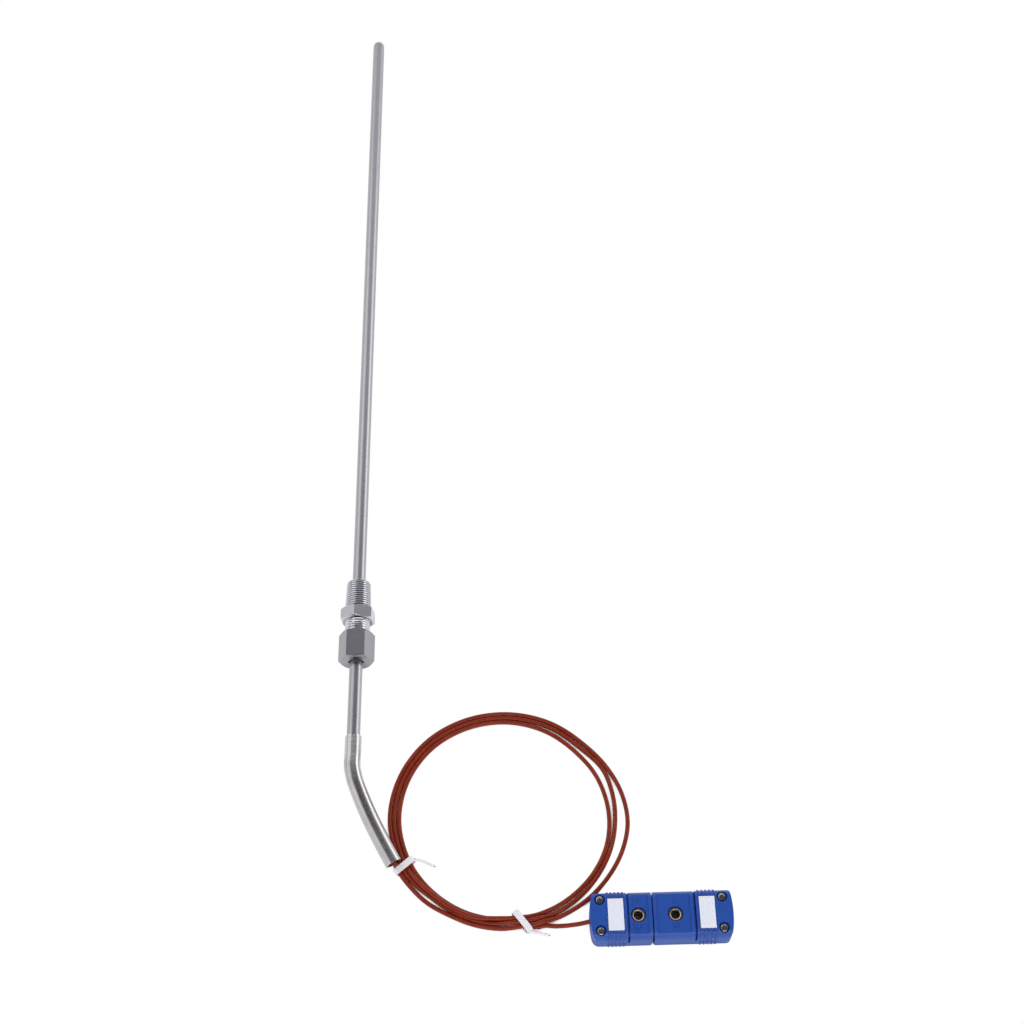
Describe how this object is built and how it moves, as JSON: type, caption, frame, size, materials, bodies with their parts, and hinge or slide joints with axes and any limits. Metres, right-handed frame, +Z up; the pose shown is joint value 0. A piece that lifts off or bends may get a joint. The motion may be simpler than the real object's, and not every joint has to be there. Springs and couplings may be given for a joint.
{
  "type": "threaded temperature sensor",
  "caption": "Straight metal probe with a sliding threaded compression fitting, a spring strain relief, a tied coil of thin cable and mated flat two-pole connectors.",
  "frame": {"origin": "on the floor under the middle of the metal probe, with the cable, spring and connectors left out", "axes": "+Y along the floor towards the probe's closed tip, +Z up, +X to the side the coiled cable lies on"},
  "size_m": [0.143, 0.429, 0.0138],
  "materials": {
    "stainless": "satin",
    "spring_steel": "bright",
    "magnesia": "matt powder",
    "epoxy": "semi-gloss",
    "copper": "bright",
    "constantan": "bright",
    "jacket": "semi-gloss",
    "tie_plastic": "matt",
    "blue_shell": "moulded satin",
    "label": "matt",
    "plated_brass": "bright",
    "nickel_screw": "bright"
  },
  "bodies": {
    "probe": {"sheath": "stainless", "mineral_core": "magnesia", "positive_wire": "copper", "negative_wire": "constantan", "junction_bead": "constantan", "end_seal": "epoxy", "strain_relief_spring": "spring_steel", "cable_lead": "jacket", "cable_coil": "jacket", "cable_tail": "jacket", "tie_left": "tie_plastic", "tie_bottom": "tie_plastic", "plug_base": "blue_shell", "plug_cap": "blue_shell", "plug_label": "label", "plug_eyelet": "plated_brass", "plug_cap_screw_1": "nickel_screw", "plug_cap_screw_2": "nickel_screw", "plug_terminal_screw_1": "nickel_screw", "plug_terminal_screw_2": "nickel_screw", "plug_pin_positive": "copper", "plug_pin_negative": "constantan", "plug_wire_positive": "jacket", "plug_wire_negative": "jacket"},
    "fitting": {"fitting_body": "stainless", "front_ferrule": "stainless"},
    "ferrule": {"back_ferrule": "stainless"},
    "nut": {"compression_nut": "stainless"},
    "socket": {"socket_base": "blue_shell", "socket_cap": "blue_shell", "socket_label": "label", "socket_eyelet": "plated_brass", "socket_cap_screw_1": "nickel_screw", "socket_cap_screw_2": "nickel_screw", "socket_terminal_screw_1": "nickel_screw", "socket_terminal_screw_2": "nickel_screw", "socket_contact_positive": "copper", "socket_contact_negative": "constantan"}
  },
  "joints": [
    {"name": "fitting_slide", "type": "slide", "parent": "probe", "child": "fitting", "axis": [0, 0.9999, -0.0147], "range_m": [-0.024, 0.26]},
    {"name": "nut_travel", "type": "slide", "parent": "fitting", "child": "ferrule", "axis": [0, -0.9999, 0.0147], "range_m": [0, 0.0053]},
    {"name": "nut_turn", "type": "hinge", "parent": "ferrule", "child": "nut", "pos_m": [0, -0.13299, 0.00711], "axis": [0, -0.9999, 0.0147], "range_deg": [0, 1800]},
    {"name": "socket_pull", "type": "slide", "parent": "probe", "child": "socket", "axis": [0.9998, 0.0175, 0], "range_m": [0, 0.015]}
  ],
  "couplings": [
    {"joint": "nut_travel", "follows": "nut_turn", "m_per_rad": 0.00016844}
  ]
}
